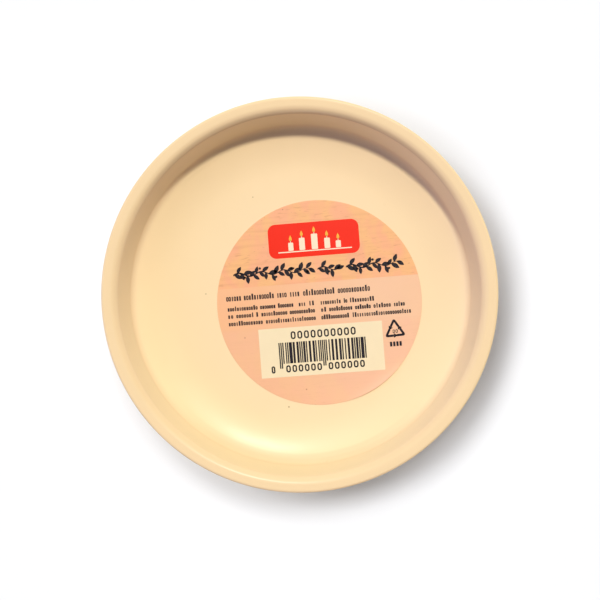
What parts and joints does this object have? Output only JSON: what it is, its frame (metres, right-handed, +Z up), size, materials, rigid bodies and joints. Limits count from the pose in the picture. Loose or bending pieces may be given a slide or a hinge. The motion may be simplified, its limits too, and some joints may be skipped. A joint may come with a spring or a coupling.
{
  "type": "candle plate",
  "caption": "Round shallow glazed ceramic plate for a pillar candle, with a raised wall, an off-centre round label on its floor, a bare label underneath and rubber feet under its foot ring.",
  "frame": {"origin": "on the table under the middle of the plate, at the height of the feet's undersides", "axes": "+Z up out of the dish; +X to the right and +Y towards the top of the picture, which is close to the top of the front label"},
  "size_m": [0.12, 0.12, 0.0212],
  "materials": {
    "glaze": "cream satin glaze on stoneware, bare on the foot ring",
    "front_film": "satin film label with a printed light wood pattern",
    "back_film": "plain satin film label",
    "foot_rubber": "soft translucent bumper rubber, matt"
  },
  "bodies": {
    "root": {"plate": "glaze", "front_label": "front_film", "back_label": "back_film", "rubber_foot_1": "foot_rubber", "rubber_foot_2": "foot_rubber", "rubber_foot_3": "foot_rubber", "rubber_foot_4": "foot_rubber"}
  },
  "joints": []
}
